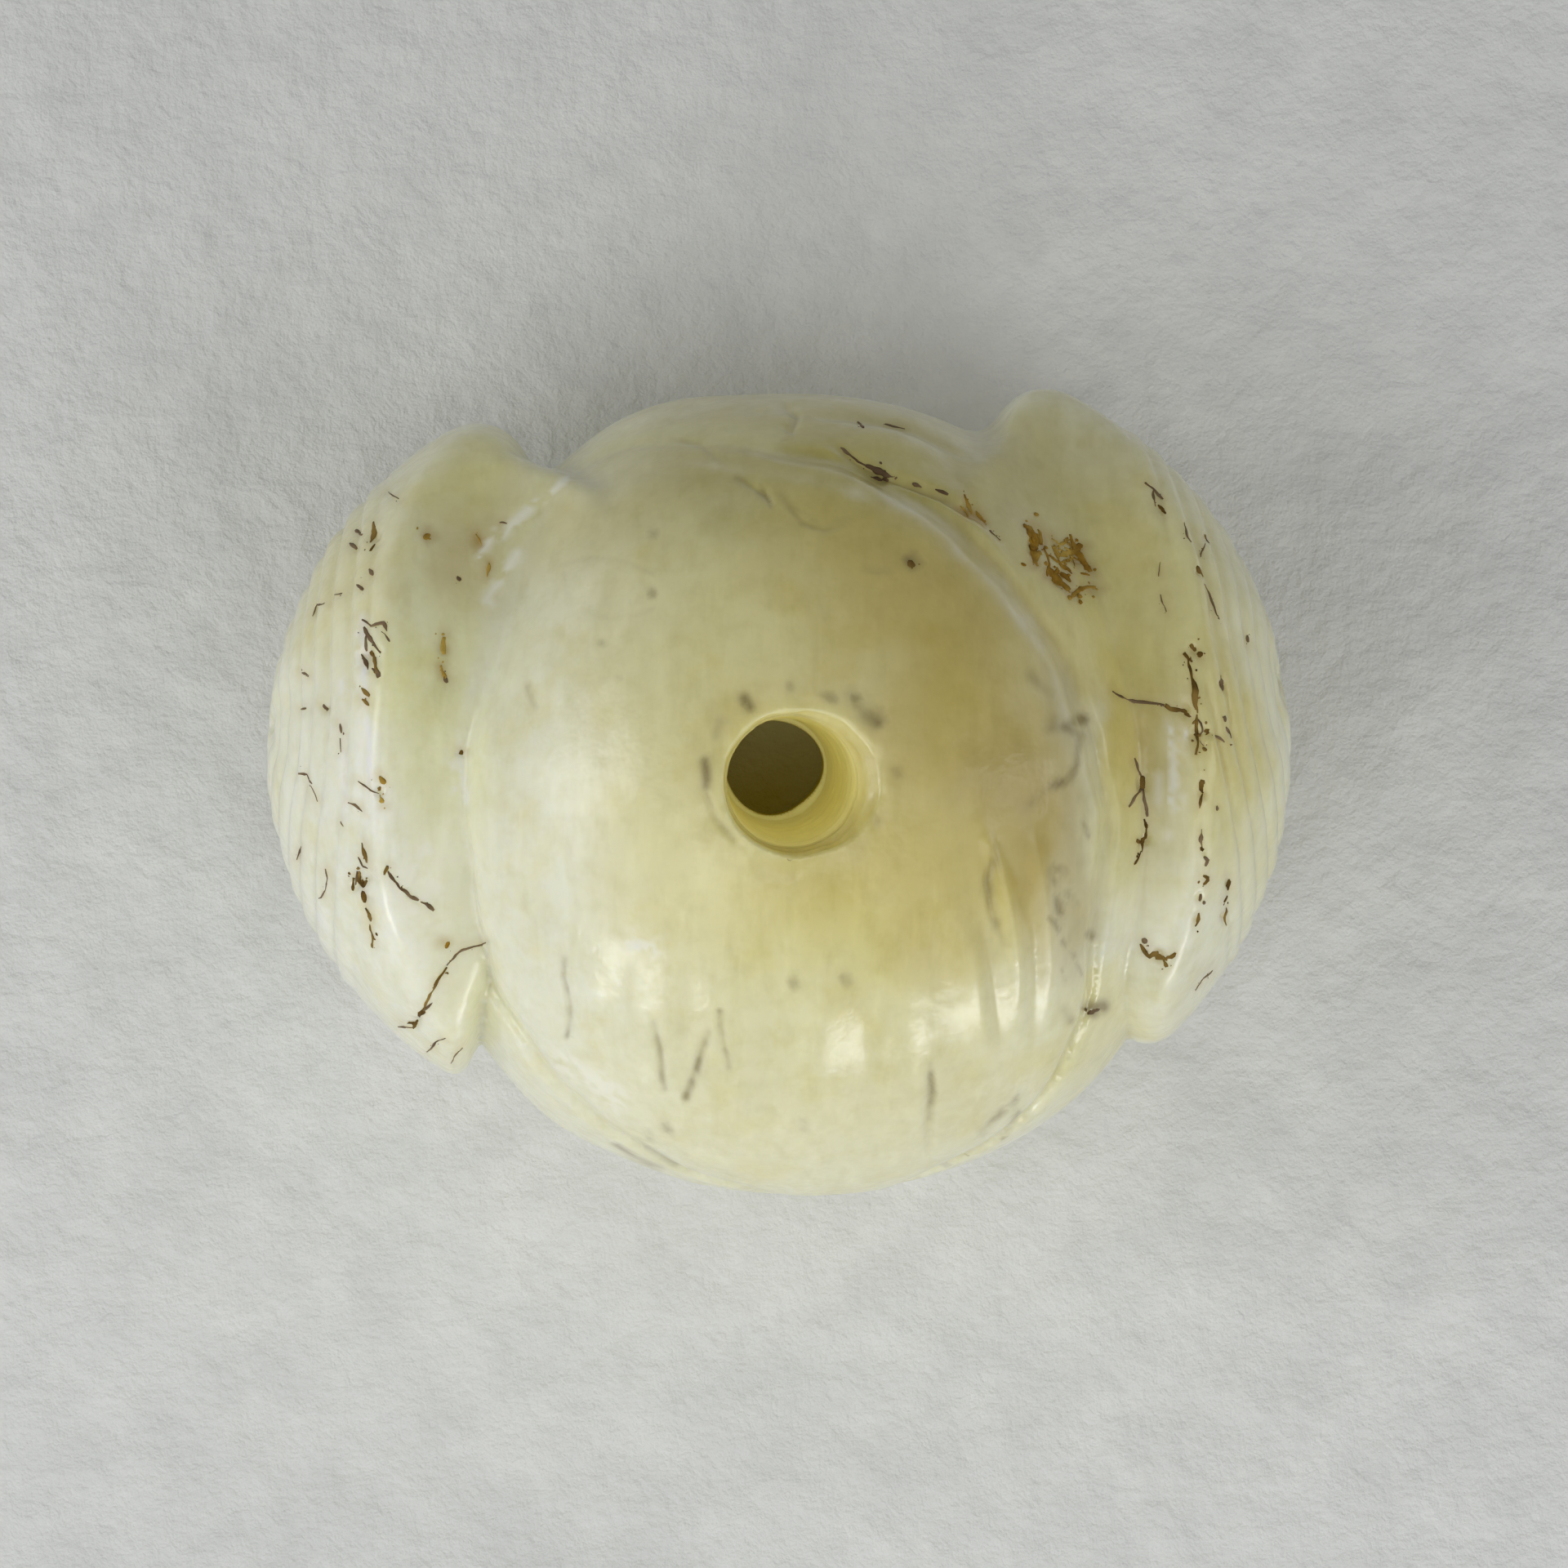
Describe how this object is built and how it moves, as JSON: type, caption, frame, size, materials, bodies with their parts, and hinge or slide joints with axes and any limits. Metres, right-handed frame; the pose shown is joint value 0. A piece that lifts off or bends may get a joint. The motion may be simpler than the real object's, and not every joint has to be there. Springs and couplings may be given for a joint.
{
  "type": "sew-on button",
  "caption": "Carved stone sew-on button of ball form: a domed boss between two ribbed wings, with one drilled channel for the sewing thread.",
  "frame": {"origin": "at the middle of the thread channel, level with the centre of the ball boss", "axes": "+Z along the thread channel towards the front dome, +X towards the larger wing, +Y towards the rounded knobs at the upper ends of the wings"},
  "size_m": [0.02, 0.016, 0.015],
  "materials": {
    "carved_stone": "polished, translucent cream to honey yellow with brown-stained cracks and pits"
  },
  "bodies": {
    "root": {"carved_body": "carved_stone"}
  },
  "joints": []
}
